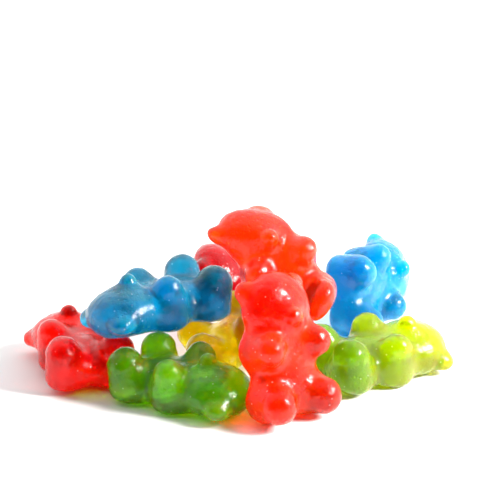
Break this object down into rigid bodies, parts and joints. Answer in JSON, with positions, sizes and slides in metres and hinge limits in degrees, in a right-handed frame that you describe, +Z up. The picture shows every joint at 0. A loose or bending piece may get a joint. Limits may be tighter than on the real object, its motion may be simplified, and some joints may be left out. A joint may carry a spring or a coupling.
{
  "type": "heap of gummy bears",
  "caption": "Loose heap of soft, see-through gummy sweets cast as little bears, in red, green, yellow and blue, lying over one another.",
  "frame": {"origin": "middle of the heap's outline seen from above, on the surface it lies on", "axes": "+Z up, +X to the right along the heap's long side and +Y to its back, as seen in the picture, which is taken from the -Y side"},
  "size_m": [0.064, 0.055, 0.0255],
  "materials": {
    "red_gum": "glossy, see-through gelatine gum",
    "crimson_gum": "glossy, see-through gelatine gum",
    "green_gum": "glossy, see-through gelatine gum",
    "lime_gum": "glossy, see-through gelatine gum",
    "yellow_gum": "glossy, see-through gelatine gum",
    "blue_gum": "glossy, see-through gelatine gum"
  },
  "bodies": {
    "root": {"red_left": "red_gum", "green_front": "green_gum", "lime_right": "lime_gum", "red_front": "red_gum", "yellow_mid": "yellow_gum", "blue_left": "blue_gum", "red_top": "red_gum", "red_back": "crimson_gum", "blue_right": "blue_gum"}
  },
  "joints": []
}
